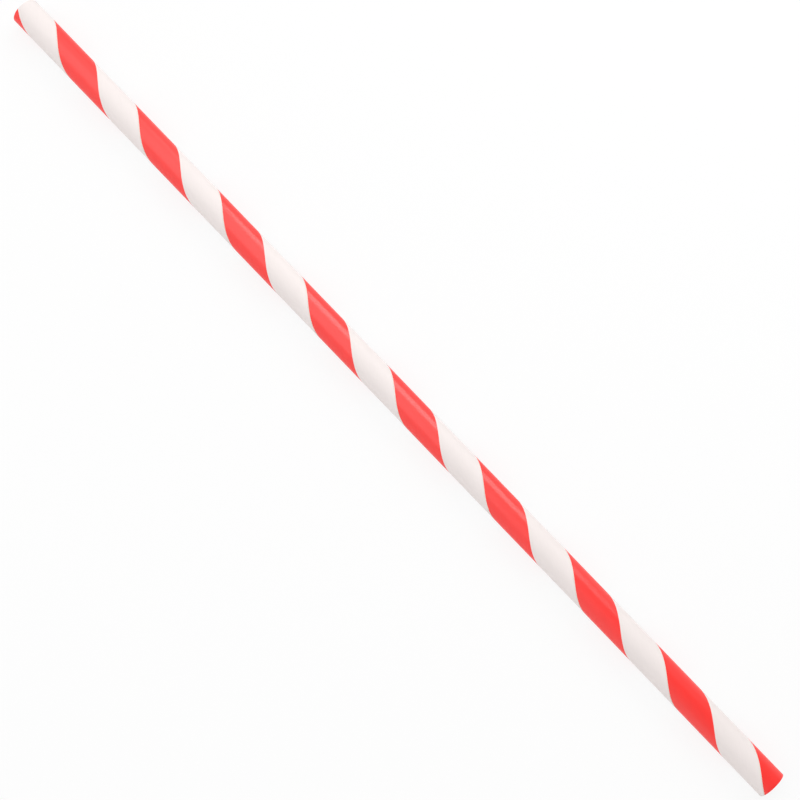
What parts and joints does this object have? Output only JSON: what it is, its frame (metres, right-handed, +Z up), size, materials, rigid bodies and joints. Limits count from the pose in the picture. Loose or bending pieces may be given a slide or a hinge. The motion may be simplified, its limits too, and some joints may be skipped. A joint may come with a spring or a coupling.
{
  "type": "paper drinking straw",
  "caption": "Straight paper drinking straw, a thin spiral-wound tube cut square at both ends, with red and white print that winds round it like a barber's pole.",
  "frame": {"origin": "on the surface that the straw lies on, under its axis at the middle of its length", "axes": "+X along the straw, towards the end that is cut through a red band on its upper side, +Z up"},
  "size_m": [0.215, 0.006, 0.006],
  "materials": {
    "printed_paper": "satin"
  },
  "bodies": {
    "root": {"straw_tube": "printed_paper"}
  },
  "joints": []
}
